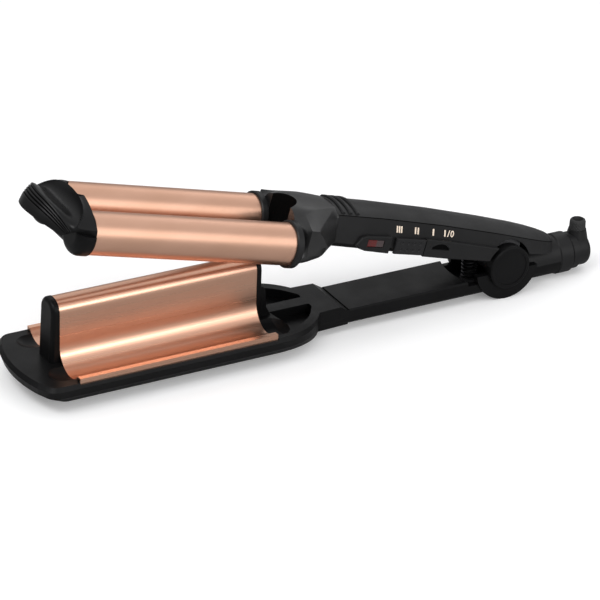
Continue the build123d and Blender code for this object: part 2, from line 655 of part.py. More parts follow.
def switch_bank():
    """Raised panel on the near side: window seat, switch notch and finger catch."""
    y0 = -HANDLE_HALF - BANK_PROUD
    panel = side_plate(bank_outline(), y0, -HANDLE_HALF + 0.5)
    outer = panel.edges().group_by(Axis.Y)[0]
    panel = chamfer(outer, 0.5)
    panel -= handle_form(-0.02, HANDLE_STATIONS)
    panel -= across(0, 0, DISC_RELIEF, -30, 30)
    notch_front = SLIDER_FRONT + SLIDER_TRAVEL + SLIDER_GAP
    notch_rear = SLIDER_FRONT - SLIDER_LENGTH - SLIDER_GAP
    panel -= box(-notch_front, -notch_rear, -30, 0, 0, 30)
    panel -= box(-WINDOW_FRONT, -WINDOW_FRONT + WINDOW_LENGTH, -30, 0, WINDOW_LOW, WINDOW_LOW + WINDOW_HEIGHT)
    lens = side_plate([(-53.6, 9.0), (-50.5, 10.6), (-48.0, 11.0), (-45.4, 10.6), (-42.4, 8.8), (-42.6, 7.6),
                       (-53.4, 7.6)], y0 - 1, y0 + 0.9)
    return panel - lens


def indicator_window():
    """Clear lens over the lamp."""
    y0 = -HANDLE_HALF - BANK_PROUD
    pane = box(-WINDOW_FRONT + 0.1, -WINDOW_FRONT + WINDOW_LENGTH - 0.1, y0 + 0.15, -HANDLE_HALF - 0.05,
               WINDOW_LOW + 0.1, WINDOW_LOW + WINDOW_HEIGHT - 0.1)
    return chamfer(pane.edges().group_by(Axis.Y)[0], 0.3)


def power_slider():
    """Sliding switch cap with eight finger dimples and the stem that reaches the switch."""
    y0 = -HANDLE_HALF - BANK_PROUD - 0.1
    x0 = -SLIDER_FRONT
    cap = box(x0, x0 + SLIDER_LENGTH, y0, -HANDLE_HALF - 0.15, SLIDER_LOW, SLIDER_HIGH)
    cap = chamfer(cap.edges().group_by(Axis.Y)[0], 0.4)
    for column in range(4):
        for row in range(2):
            x = x0 + 3.8 + column * 3.7
            z = SLIDER_LOW + 2.7 + row * 3.7
            cap -= Pos(x, y0 - 0.9, z) * Sphere(1.3)
    middle = x0 + SLIDER_LENGTH / 2
    stem = box(middle - STEM_LENGTH / 2, middle + STEM_LENGTH / 2, -HANDLE_HALF - 0.5, -SWITCH_FACE + 0.6,
               STEM_Z - STEM_HEIGHT / 2, STEM_Z + STEM_HEIGHT / 2)
    return cap + stem


SWITCH_FACE = HANDLE_HALF - HANDLE_WALL - 2.0


def slide_switch():
    """Multi-position slide switch on the board, with the slot its lever runs in."""
    middle = -SLIDER_FRONT + SLIDER_LENGTH / 2 - SLIDER_TRAVEL / 2
    body = box(middle - 11, middle + 11, -SWITCH_FACE, -SWITCH_FACE + 6.5, STEM_Z - 2.5, STEM_Z + 2.5)
    slot_half = (STEM_LENGTH + SLIDER_TRAVEL) / 2 + 0.4
    body -= box(middle - slot_half, middle + slot_half, -20, -SWITCH_FACE + 2.4,
                STEM_Z - STEM_HEIGHT / 2 - 0.3, STEM_Z + STEM_HEIGHT / 2 + 0.3)
    return body


def control_board():
    """Circuit board on edge behind the switch."""
    y0 = -SWITCH_FACE + 6.5
    board = box(-98, -38, y0, y0 + 1.6, 6.8, 17.4)
    for x in (-95.0, -41.0):
        board -= across(x, 15.0, 1.3, -30, 30)
    return board


def indicator_lamp():
    """Lamp on the board behind the window."""
    x = -WINDOW_FRONT + WINDOW_LENGTH / 2
    z = WINDOW_LOW + WINDOW_HEIGHT / 2
    bulb = across(x, z, 1.5, -11.4, -SWITCH_FACE + 6.5)
    return bulb + Pos(x, -11.4, z) * Sphere(1.5)


def hinge_lug():
    """Turning block of the upper arm, between the cheeks, screwed under the handle roof."""
    half = CHEEK_INNER - LUG_GAP
    lug = across(0, 0, LUG_RADIUS, -half, half)
    roof = handle_form(HANDLE_WALL + 0.02, HANDLE_STATIONS)
    web = box(-LUG_RADIUS, LUG_RADIUS - 1.5, -half, half, 0, 30) & roof
    shelf = box(SPRING_X - SPRING_RADIUS - 3, 0, -half, half, SEAT_TOP, SEAT_TOP + 2.6)
    lug = lug + web + shelf
    return lug - across(0, 0, PIN_RADIUS + PIN_CLEARANCE, -30, 30)


def spring_seat():
    """Seat under the lug's shelf; its face is tilted halfway so that the spring stays straight."""
    cup = Pos(SPRING_X, 0, SEAT_TOP - 1.6) * Cylinder(SPRING_RADIUS + 0.9, 3.2)
    return cup - Pos(SPRING_X, 0, SEAT_FACE) * Rot(0, -OPENING_ANGLE / 2, 0) * box(-20, 20, -20, 20, -20, 0)


# ---------------------------------------------------------------- shoulder, collars, barrels

SHOULDER_RINGS = (
    # x, then the half outline from top to bottom as (y, z)
    (-SHOULDER_FRONT, ((12.5, 23.2), (24.0, 19.4), (31.4, 12.0), (31.4, 2.0), (25.0, -3.2))),
    (-SHOULDER_MID, ((13.0, 24.3), (20.5, 20.8), (25.0, 14.8), (25.0, 6.6), (18.6, -0.6))),
    (-HANDLE_FRONT, ((9.5, 24.5), (13.6, 22.0), (16.2, 14.0), (16.2, 8.0), (13.2, 4.6))),
)


def shoulder_section(x, half_outline):
    """Closed polygon section from its half outline."""
    left = [(-y, z) for y, z in reversed(half_outline)]
    return Pos(x, 0, 0) * (Plane.YZ * make_face(Polyline(*half_outline, *left, close=True)))


def shoulder_block():
    """Faceted block between barrels and handle, scooped out where the ridge end comes up."""
    block = loft([shoulder_section(*ring) for ring in SHOULDER_RINGS], ruled=True)
    scoop_x = -RIDGE_TAIL + 1.0
    block -= Pos(scoop_x, 0, 0) * Cylinder(RIDGE_HALF + CLOSED_GAP + 1.6, 120)
    block -= Pos(scoop_x - 10, 0, 0) * Box(20, 2 * (RIDGE_HALF + CLOSED_GAP + 1.6), 120)
    for side in (-1, 1):
        block -= rod(-SHOULDER_FRONT - 1, -SHOULDER_FRONT + 12, side * BARREL_Y, BARREL_LIFT, 6.0)
    block -= box(-SHOULDER_MID + 2, -HANDLE_FRONT + 1, -9, 9, 9, 19)
    block -= box(-SHOULDER_FRONT - 1, -122, -RIDGE_HALF - 4.0, RIDGE_HALF + 4.0, -20, DECK_Z + 1.6)
    return block


def barrel(side):
    """Thin-walled heated barrel."""
    bore = BARREL_RADIUS - BARREL_WALL
    return tube(-BARREL_FRONT, -BARREL_REAR, side * BARREL_Y, BARREL_LIFT, BARREL_RADIUS, bore)


def barrel_collar(side):
    """Heat-proof collar with the spigot that the barrel slides onto."""
    y = side * BARREL_Y
    outer = BARREL_RADIUS + COLLAR_PROUD
    ring = rod(-BARREL_REAR, -SHOULDER_FRONT, y, BARREL_LIFT, outer)
    ring = chamfer(ring.edges().group_by(Axis.X)[0], 0.5)
    spigot = rod(-BARREL_REAR - SPIGOT_LENGTH, -BARREL_REAR + 0.5, y, BARREL_LIFT,
                 BARREL_RADIUS - BARREL_WALL - SPIGOT_GAP)
    return ring + spigot - rod(-BARREL_REAR - 20, -SHOULDER_FRONT + 1, y, BARREL_LIFT, 6.0)


def barrel_heater(side):
    """Ceramic heater stick on the barrel axis."""
    y = side * BARREL_Y
    stick = box(-BARREL_FRONT + 14, -BARREL_REAR - 2, y - 4.5, y + 4.5, BARREL_LIFT - 1.5, BARREL_LIFT + 1.5)
    return stick


def heat_spreader(side):
    """Two half-round aluminium shoes that press the heater against the barrel wall."""
    y = side * BARREL_Y
    x0, x1 = -BARREL_FRONT + 16, -BARREL_REAR - SPIGOT_LENGTH - 4
    shoe = rod(x0, x1, y, BARREL_LIFT, BARREL_RADIUS - BARREL_WALL - 0.05)
    shoe -= box(x0 - 1, x1 + 1, y - 15, y + 15, BARREL_LIFT - 1.55, BARREL_LIFT + 1.55)
    for lift in (-1, 1):
        shoe -= rod(x0 - 1, x1 + 1, y, BARREL_LIFT + lift * 6.2, 2.2)
    return shoe


def thermal_fuse():
    """Fuse lying in the shoulder behind the barrels."""
    fuse = Pos(-SHOULDER_MID + 5, 0, 0) * box(-1.2, 7, -6, 6, 10, 14)
    return chamfer(fuse.edges().filter_by(Axis.Y), 0.8)


# ---------------------------------------------------------------- nose

def nose_keep():
    """Bay with round corners in the rear of the nose, for the ridge end when the arms close."""
    bay = box(-RIDGE_NOSE - BAY_GAP, -BARREL_FRONT + 1, -BAY_HALF, BAY_HALF, -60, 60)
    bay = fillet(bay.edges().filter_by(Axis.Z).group_by(Axis.X)[0], 3.0)
    return bay & box(-300, -BARREL_FRONT, -60, 60, -60, 60)


def nose_cups():
    """Rounded cups over both barrel ends, before they are split at the ledge."""
    cups = None
    front = -BARREL_FRONT - CUP_LENGTH
    for side in (-1, 1):
        cup = rod(front, -BARREL_FRONT, side * BARREL_Y, BARREL_LIFT, BARREL_RADIUS + CUP_PROUD)
        cup = fillet(cup.edges().group_by(Axis.X)[0], 5.6)
        cups = cup if cups is None else cups + cup
    return cups


def thumb_profile():
    """Side section of the cool tip: crown, slope to the crest, lip, underside."""
    return make_face(Polyline(
        (-BARREL_FRONT, 6.0), (-BARREL_FRONT, NOSE_CROWN), (-265.0, NOSE_CROWN - 0.3), (-281.0, 20.0),
        (-290.0, 19.4), (-290.0, 13.6), (-286.0, 12.2), (-276.0, 10.2), (-270.0, 9.4), close=True))


def thumb_rest():
    """Cool tip: an arched cap with a leaf-shaped thumb hollow and grooves along its lip."""
    axis = Axis((0, 0, NOSE_ARCH_AXIS), (1, 0, 0))
    face = Plane.XZ * thumb_profile()
    arch = revolve(face, axis, 43) + revolve(face, axis, -43)
    front = -BARREL_FRONT - CUP_LENGTH - 0.3
    plan = Pos(-PLAN_CENTRE, 0, 0) * Cylinder(PLAN_RADIUS, 120)
    lip = arch & plan & box(-300, front, -VISOR_HALF, VISOR_HALF, LEDGE_Z - 1.8, 60)
    body = arch & box(front, -BARREL_FRONT, -60, 60, LEDGE_Z, 60) & (plan + box(-266, 0, -60, 60, -60, 60))
    upper_cups = nose_cups() & box(-300, -200, -60, 60, LEDGE_Z, 60)
    tip = body + lip + upper_cups
    tip -= Pos(-276.4, 0, 27.2) * scale(Sphere(1), (8.8, 27.0, 12.6))
    skin = Pos(-PLAN_CENTRE, 0, 0) * (Cylinder(PLAN_RADIUS + 2, 120) - Cylinder(PLAN_RADIUS - 0.6, 120))
    for step in range(3):
        radius = NOSE_CROWN - NOSE_ARCH_AXIS - 4.3 - 1.3 * step
        ring = Rot(0, 90, 0) * (Cylinder(radius, 30) - Cylinder(radius - 0.6, 30))
        ring = Pos(-282, 0, NOSE_ARCH_AXIS) * ring
        tip -= ring & skin
    return tip - nose_keep()


def nose_cap():
    """Lower half of the nose: two closed cups over the barrel ends and the bridge between them."""
    body = nose_cups()
    bridge = box(-BARREL_FRONT - CUP_LENGTH + 1.0, -BARREL_FRONT, -BARREL_Y, BARREL_Y, -1.8, 14)
    body += fillet(bridge.edges().filter_by(Axis.Y).group_by(Axis.X)[0], 3.4)
    for side in (-1, 1):
        y = side * BARREL_Y
        spigot = rod(-BARREL_FRONT - 0.5, -BARREL_FRONT + SPIGOT_LENGTH, y, BARREL_LIFT,
                     BARREL_RADIUS - BARREL_WALL - SPIGOT_GAP)
        body += spigot - rod(-BARREL_FRONT - 1, -BARREL_FRONT + 20, y, BARREL_LIFT, 7.5)
    return body - box(-300, -BARREL_FRONT, -60, 60, LEDGE_Z, 60) - nose_keep()


# ---------------------------------------------------------------- build

def lower_arm_nodes():
    """Nodes of the lower arm and the cord swivel, in the hinge frame."""
    return {
        "lower_shell": lower_shell(),
        "plate_frame": plate_frame(),
        "wave_plate": wave_plate(),
        "ridge_core": ridge_core(),
        "ridge_heater": ridge_heater(),
        "trough_heater_near": trough_heater(-1),
        "trough_heater_far": trough_heater(1),
        "insulation_sheet": insulation_sheet(),
        "plate_thermostat": plate_thermostat(),
        "arm_cover": arm_cover(),
        "housing_screws": housing_screws(),
        "hinge_pin": hinge_pin(),
        "pivot_disc_near": pivot_disc(-1),
        "pivot_disc_far": pivot_disc(1),
        "spring_post": spring_post(),
        "opening_spring": opening_spring(),
        "tail_cover": tail_half(1),
        "tail_ring": tail_ring(),
        "swivel_body": swivel_body(),
        "swivel_cap": swivel_cap(),
        "cord_boot": cord_boot(),
    }


def upper_arm_nodes():
    """Nodes of the upper arm in the hinge frame, with the arms closed."""
    shell = handle_hollow_shell()
    lower = below_seam()
    bank_nose, bank_rear = switch_bank().solids().sort_by(Axis.X)
    nodes = {
        "handle_cover": handle_cover(shell, lower),
        "handle_tub": handle_tub(shell, lower),
        "bank_nose": bank_nose,
        "bank_rear": bank_rear,
        "indicator_window": indicator_window(),
        "power_slider": power_slider(),
        "slide_switch": slide_switch(),
        "control_board": control_board(),
        "indicator_lamp": indicator_lamp(),
        "hinge_lug": hinge_lug(),
        "spring_seat": spring_seat(),
        "shoulder_block": shoulder_block(),
        "thermal_fuse": thermal_fuse(),
        "thumb_rest": thumb_rest(),
        "nose_cap": nose_cap(),
    }
    for name, side in (("near", -1), ("far", 1)):
        nodes["barrel_" + name] = barrel(side)
        nodes["barrel_collar_" + name] = barrel_collar(side)
        nodes["barrel_heater_" + name] = barrel_heater(side)
        nodes["heat_spreader_" + name] = heat_spreader(side)
    return nodes


os.makedirs("parts", exist_ok=True)
for node_name, node_shape in lower_arm_nodes().items():
    export_step(H * node_shape, "parts/" + node_name + ".step")
for node_name, node_shape in upper_arm_nodes().items():
    export_step(OPEN * node_shape, "parts/" + node_name + ".step")
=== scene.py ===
import math

import bmesh
import bpy
import numpy as np
from mathutils import Matrix, Vector


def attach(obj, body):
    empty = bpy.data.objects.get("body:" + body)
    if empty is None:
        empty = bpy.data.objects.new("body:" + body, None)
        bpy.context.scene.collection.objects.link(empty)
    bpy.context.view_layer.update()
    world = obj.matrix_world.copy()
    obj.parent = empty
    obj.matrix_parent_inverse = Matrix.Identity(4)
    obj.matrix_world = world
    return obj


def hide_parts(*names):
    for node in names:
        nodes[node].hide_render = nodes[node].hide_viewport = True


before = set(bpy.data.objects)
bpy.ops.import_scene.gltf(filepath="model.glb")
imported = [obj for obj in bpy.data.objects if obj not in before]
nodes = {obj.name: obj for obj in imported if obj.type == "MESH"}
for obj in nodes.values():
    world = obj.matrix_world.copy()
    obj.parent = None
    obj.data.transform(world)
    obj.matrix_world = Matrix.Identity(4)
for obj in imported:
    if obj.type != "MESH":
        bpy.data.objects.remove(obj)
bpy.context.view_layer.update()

# ---------------------------------------------------------------- places

HINGE = (0.1118, 0.0, 0.0192)        # hinge axis in the row frame, in metres
TILT = math.radians(14.7)            # angle of the upper arm at rest
MM = 0.001


def curve(x, y, z):
    """Points of a curve, from coordinates that are numbers or arrays."""
    return np.stack(np.broadcast_arrays(x, y, z), -1)


def lower(points):
    """Hinge-frame millimetres of the lower arm as row-frame metres."""
    return np.asarray(points) * MM + HINGE


def upper(points):
    """The same for the upper arm: drawn closed, then turned open about the hinge by the tilt."""
    x, y, z = np.moveaxis(np.asarray(points, float), -1, 0)
    c, s = math.cos(TILT), math.sin(TILT)
    return lower(curve(x * c + z * s, y, -x * s + z * c))


def between(start, end, t):
    """Points on the way from start to end."""
    return start * (1 - t) + end * t


# ---------------------------------------------------------------- mesh making

def grid_faces(rows, cols, ring=False, closed=False):
    """Quads of a rows by cols grid; ring joins its last column to the first, closed its last row."""
    index = np.arange(rows * cols).reshape(rows, cols)
    if ring:
        index = np.concatenate([index, index[:, :1]], 1)
    if closed:
        index = np.concatenate([index, index[:1]], 0)
    return np.stack([index[:-1, :-1], index[:-1, 1:], index[1:, 1:], index[1:, :-1]], -1).reshape(-1, 4)


def slab(first, second):
    """Two equal loops of points closed into one solid, as points and faces."""
    n = len(first)
    faces = [list(range(n)), list(range(n, 2 * n))[::-1]]
    faces += [[i, i + n, (i + 1) % n + n, (i + 1) % n] for i in range(n)]
    return np.concatenate([first, second]), faces


def add_object(name, data):
    """A new object in the scene that shows the given data."""
    thing = bpy.data.objects.new(name, data)
    bpy.context.scene.collection.objects.link(thing)
    return thing


def add_mesh(name, points, faces, material, smooth=True):
    """A new mesh object of one material, with smooth or flat faces."""
    mesh = bpy.data.meshes.new(name)
    mesh.from_pydata(points.reshape(-1, 3).tolist(), [], faces)
    mesh.polygons.foreach_set("use_smooth", np.full(len(mesh.polygons), smooth))
    mesh.materials.append(material)
    return add_object(name, mesh)


def make_piece(name, points, faces, body, material, smooth=True):
    """A mesh object that rides on a body."""
    piece = add_mesh(name, points, faces, material, smooth)
    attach(piece, body)
    return piece


def face_out(piece):
    """Turns all faces of a closed piece outwards and keeps its sharp edges crisp."""
    shape = bmesh.new()
    shape.from_mesh(piece.data)
    bmesh.ops.remove_doubles(shape, verts=shape.verts, dist=1e-7)
    bmesh.ops.recalc_face_normals(shape, faces=shape.faces)
    for edge in shape.edges:
        edge.smooth = edge.calc_face_angle(0.0) < math.radians(38)
    shape.to_mesh(piece.data)
    shape.free()


# ---------------------------------------------------------------- shader nodes

def feed(tree, node, inputs):
    """Fills inputs of a node: a socket is linked, anything else is the value itself."""
    for key, value in inputs.items():
        if isinstance(value, bpy.types.NodeSocket):
            tree.links.new(value, node.inputs[key])
        else:
            node.inputs[key].default_value = value


def add_node(tree, kind, inputs, **settings):
    """A new shader node with its settings and inputs."""
    node = tree.nodes.new("ShaderNode" + kind)
    for key, value in settings.items():
        setattr(node, key, value)
    feed(tree, node, inputs)
    return node


def new_material(name):
    """A new material with its tree, its shader and its object coordinates."""
    material = bpy.data.materials.new(name)
    material.use_nodes = True
    tree = material.node_tree
    return material, tree, tree.nodes["Principled BSDF"], add_node(tree, "TexCoord", {}).outputs["Object"]


def noise(tree, coords, scale, detail=3.0, stretch=(1, 1, 1), turn=0.0):
    """Noise on object coordinates, stretched along the axes after a turn about Y."""
    if turn:
        coords = add_node(tree, "Mapping", {"Vector": coords, "Rotation": (0, turn, 0)}).outputs[0]
    mapping = add_node(tree, "Mapping", {"Vector": coords, "Scale": stretch})
    texture = add_node(tree, "TexNoise", {"Vector": mapping.outputs[0], "Scale": scale, "Detail": detail})
    return texture.outputs["Fac"]


def spread(tree, value, low, high, start=0.35, end=0.65):
    """A value between start and end spread over the range from low to high."""
    ends = {"Value": value, "From Min": start, "From Max": end, "To Min": low, "To Max": high}
    return add_node(tree, "MapRange", ends).outputs["Result"]


def tones(tree, value, stops):
    """A ramp of colours along a value."""
    node = add_node(tree, "ValToRGB", {"Fac": value})
    ramp = node.color_ramp.elements
    while len(ramp) < len(stops):
        ramp.new(0.5)
    for element, (place, colour) in zip(ramp, stops):
        element.position = place
        element.color = (*colour, 1)
    return node.outputs["Color"]


def bump(tree, height, depth):
    """Surface relief of the given depth in metres, as a normal."""
    return add_node(tree, "Bump", {"Height": height, "Distance": depth}).outputs["Normal"]


# ---------------------------------------------------------------- materials

def moulded(name, dark, light, rough, specular, grain=3200.0, depth=0.00002):
    """Moulded plastic: spark-eroded grain, slow drift of tone, roughness that wanders with handling."""
    material, tree, shader, coords = new_material(name)
    drift = noise(tree, coords, 26.0, 4.0)
    rubbed = noise(tree, coords, 60.0, 5.0)
    feed(tree, shader, {
        "Base Color": tones(tree, drift, [(0.35, dark), (0.68, light)]),
        "Roughness": spread(tree, rubbed, *rough),
        "Specular IOR Level": specular,
        "Normal": bump(tree, noise(tree, coords, grain, 2.0), depth)})
    return material


def brushed(name, dark, light, rough, turn=0.0, depth=0.000004, length=4.0, lines=1500.0):
    """Satin metal: hair-fine lines along the piece in roughness and relief, over a slow drift of tone."""
    material, tree, shader, coords = new_material(name)
    lines_along = noise(tree, coords, 1.0, stretch=(length, lines, lines), turn=turn)
    cloud = noise(tree, coords, 1.0, stretch=(9.0, 60.0, 60.0), turn=turn)
    feed(tree, shader, {
        "Base Color": tones(tree, cloud, [(0.3, dark), (0.7, light)]),
        "Roughness": spread(tree, lines_along, *rough),
        "Metallic": 1.0,
        "Normal": bump(tree, lines_along, depth)})
    return material


WINDOW_ENDS = (-94.6, -84.2)         # front and rear of the window along the closed arm, in millimetres


def along_arm(tree, coords):
    """Millimetres along the closed upper arm, from the hinge, as a value."""
    place = {"Vector": coords, "Location": HINGE, "Rotation": (0, TILT, 0), "Scale": (MM, MM, MM)}
    mapping = add_node(tree, "Mapping", place, vector_type="TEXTURE")
    return add_node(tree, "SeparateXYZ", {"Vector": mapping.outputs[0]}).outputs["X"]


def window_glass():
    """Tinted window: the front half glows dull red, the rear half is smoke grey, with a soft step."""
    material, tree, shader, coords = new_material("window_tint")
    place = spread(tree, along_arm(tree, coords), 0.0, 1.0, *WINDOW_ENDS)
    red, bright_red, smoke, dark_smoke = ((0.080, 0.009, 0.009), (0.10, 0.012, 0.011),
                                          (0.055, 0.036, 0.037), (0.050, 0.036, 0.037))
    feed(tree, shader, {
        "Base Color": tones(tree, place, [(0.0, red), (0.5, bright_red), (0.58, smoke), (1.0, dark_smoke)]),
        "Roughness": spread(tree, noise(tree, coords, 400.0), 0.12, 0.22)})
    return material


housing_black = moulded("housing_satin_black", (0.0028, 0.0028, 0.0030), (0.0052, 0.0052, 0.0055),
                        (0.33, 0.44), 0.13)
handle_black = moulded("handle_satin_black", (0.009, 0.009, 0.0093), (0.014, 0.014, 0.0144),
                       (0.36, 0.46), 0.2)
disc_black = moulded("disc_black", (0.0034, 0.0034, 0.0036), (0.0055, 0.0055, 0.0058), (0.45, 0.55), 0.12)
tip_black = moulded("tip_satin_black", (0.0040, 0.0040, 0.0042), (0.0070, 0.0070, 0.0073),
                    (0.26, 0.36), 0.22)
shoulder_black = moulded("shoulder_satin_black", (0.0038, 0.0038, 0.0040), (0.0068, 0.0068, 0.0071),
                         (0.28, 0.38), 0.55)
# painted shade: a near-black laid on the groove faces, cut walls, finger catch and cover joint, where shade
# falls
painted_shade = moulded("painted_shade", (0.0010, 0.0010, 0.0010), (0.0022, 0.0022, 0.0023), (0.6, 0.7), 0.05)
switch_grey = moulded("switch_grey", (0.013, 0.013, 0.0137), (0.020, 0.020, 0.021), (0.4, 0.52), 0.2)
inner_plastic = moulded("inner_plastic", (0.035, 0.035, 0.037), (0.05, 0.05, 0.053), (0.5, 0.62), 0.3)
ink_cream = moulded("ink_cream", (0.84, 0.70, 0.56), (0.94, 0.82, 0.69), (0.45, 0.6), 0.3)
lamp_red = moulded("lamp_red", (0.35, 0.02, 0.015), (0.5, 0.03, 0.02), (0.1, 0.2), 0.5)
boot_rubber = moulded("boot_rubber", (0.020, 0.020, 0.020), (0.030, 0.030, 0.030), (0.55, 0.7), 0.3,
                      grain=2200.0, depth=0.00003)
heater_ceramic = moulded("heater_ceramic", (0.68, 0.66, 0.60), (0.76, 0.74, 0.69), (0.6, 0.75), 0.3,
                         grain=1500.0, depth=0.00003)
mica = moulded("mica_sheet", (0.42, 0.35, 0.23), (0.52, 0.45, 0.31), (0.45, 0.6), 0.4,
               grain=900.0, depth=0.00003)
board_green = moulded("board_green", (0.02, 0.10, 0.04), (0.03, 0.14, 0.06), (0.3, 0.4), 0.5,
                      grain=1200.0, depth=0.00001)
copper_plate = brushed("copper_plate_satin", (0.70, 0.405, 0.285), (0.76, 0.455, 0.325), (0.27, 0.36))
copper_barrel = brushed("copper_barrel_satin", (0.735, 0.43, 0.30), (0.80, 0.48, 0.345), (0.3, 0.38),
                        turn=TILT)
spring_steel = brushed("spring_black_oxide", (0.05, 0.05, 0.055), (0.09, 0.09, 0.095), (0.3, 0.42),
                       depth=0.000006, length=700.0, lines=700.0)
pin_steel = brushed("pin_steel", (0.45, 0.45, 0.46), (0.55, 0.55, 0.56), (0.25, 0.35),
                    depth=0.000006, length=700.0, lines=60.0)
core_aluminium = brushed("core_aluminium", (0.60, 0.60, 0.61), (0.70, 0.70, 0.71), (0.35, 0.5))
window_tint = window_glass()

MADE_OF = (
    (housing_black, "lower_shell plate_frame arm_cover nose_cap"),
    (handle_black, "handle_cover handle_tub bank_nose bank_rear shoulder_block thumb_rest barrel_collar_near "
                   "barrel_collar_far tail_cover tail_ring swivel_body swivel_cap"),
    (disc_black, "pivot_disc_near pivot_disc_far"),
    (copper_plate, "wave_plate"),
    (copper_barrel, "barrel_near barrel_far"),
    (core_aluminium, "ridge_core heat_spreader_near heat_spreader_far"),
    (heater_ceramic, "ridge_heater trough_heater_near trough_heater_far barrel_heater_near "
                     "barrel_heater_far"),
    (mica, "insulation_sheet"),
    (pin_steel, "hinge_pin housing_screws plate_thermostat thermal_fuse"),
    (spring_steel, "opening_spring"),
    (inner_plastic, "spring_post spring_seat hinge_lug slide_switch"),
    (board_green, "control_board"),
    (switch_grey, "power_slider"),
    (window_tint, "indicator_window"),
    (lamp_red, "indicator_lamp"),
    (boot_rubber, "cord_boot"))

for material, names in MADE_OF:
    for name in names.split():
        nodes[name].data.materials.clear()
        nodes[name].data.materials.append(material)

# ---------------------------------------------------------------- cool tip

ARCH_AXIS = -22.0                    # height of the axis of the round arch behind the tip
ARCH_RADIUS = 45.1


def arch(x, y, radius):
    """Points of a round arch about that axis."""
    return curve(x, y, ARCH_AXIS + np.sqrt(radius ** 2 - y ** 2))


def cool_tip():
    """Leaf-shaped thumb rest, swept from side to side along s from -1 to 1.

    Each column of points runs from the lower rim over a sloping band with four close grooves to the
    inner line, dips through the thumb hollow to a crisp back rim, goes on to the barrel plane and
    returns underneath. The rim curves are powers of s: flat-topped arcs that fall away at both ends.
    """
    s = np.linspace(-1, 1, 193)
    off = np.abs(s)
    bay = 1 - np.clip((off - 0.250) / 0.012, 0, 1)      # 1 in the bay for the ridge end, 0 beside it
    barrel_plane = -261.1 - 3.4 * bay
    underside = 8.86
    half_turn = math.radians(43.0)

    def swell(power):
        """A flat-topped arc along s: 1 in the middle, 0 at both ends."""
        return 1 - off ** power

    low_rim = curve(-275.9 - 11.6 * swell(2.2), 21.4 * s,
                    5.4 + 4.4 * swell(2.4) + 1.8 * np.clip(s, 0, 1) ** 1.5)
    inner = curve(-271.6 - 10.4 * swell(2.2), 23.0 * s, 10.0 + 10.0 * swell(2.8) + 1.6 * s)
    back = arch(-264.6 - 5.6 * off ** 5, 25.6 * s, ARCH_RADIUS - 2.6 * off ** 6)
    rear = arch(barrel_plane, 29.6 * np.sin(half_turn * s) / math.sin(half_turn), ARCH_RADIUS)
    rear_foot = curve(barrel_plane - 0.9 * bay, 30.1 * s, underside)
    under = curve(-270.6, 24.8 * s, underside)
    lip_back = low_rim + curve(2.6, -1.3 * s, 0.25)

    rows = [low_rim + curve(0.5, -0.2 * s, -0.12), low_rim]
    out = curve(-0.75, 0.35 * s, 0.5)
    groove_from, groove_pitch, groove_half, groove_depth = 0.40, 0.14, 0.038, 0.55
    grooves = []
    for t in np.linspace(0.03, 0.97, 58):
        beside = abs((t - groove_from) % groove_pitch - groove_pitch / 2)
        groove = max(0.0, 1 - beside / groove_half) if t > groove_from else 0.0
        belly = 0.8 * math.sin(math.pi * t)
        if groove > 0.2:
            grooves.append(len(rows))
        rows.append(between(low_rim, inner, t) + out * (belly - groove_depth * groove))
    rows.append(inner)
    sag = 6.6 * swell(2.2) + 0.3
    for t in np.linspace(0.02, 0.985, 46):
        dip = 3.39 * t ** 1.6 * (1 - t) ** 0.55
        rows.append(between(inner, back, t) - curve(0, 0, sag * dip))
    rows.append(back)
    for t in (0.03, 0.10, 0.22, 0.36, 0.5, 0.64, 0.78, 0.9, 1.0):
        drop = 0.55 * math.sin(math.pi * t ** 0.6)
        rows.append(between(back, rear, t) - curve(0, 0, drop * (1 - bay)))
    rows += [between(rear, rear_foot, t) for t in (0.3, 0.65, 1.0)]
    rows += [between(rear_foot, under, 0.5), under]
    rows += [between(under, lip_back, t) for t in (0.34, 0.67)] + [lip_back]

    count = len(rows)
    quads = grid_faces(len(s), count, ring=True).tolist()
    near_end = list(range(count))
    far_end = [i + (len(s) - 1) * count for i in reversed(near_end)]
    faces = quads + [near_end, far_end]
    piece = make_piece("cool_tip", upper(np.stack(rows, 1)), faces, "upper_arm", tip_black)
    # the groove faces take the near-black of painted shade, darkening the grooves where shade falls
    piece.data.materials.append(painted_shade)
    dark = np.append(np.isin(np.arange(len(quads)) % count, grooves), [False, False])
    piece.data.polygons.foreach_set("material_index", dark.astype(np.int32))
    face_out(piece)
    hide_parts("thumb_rest")


# ---------------------------------------------------------------- shoulder

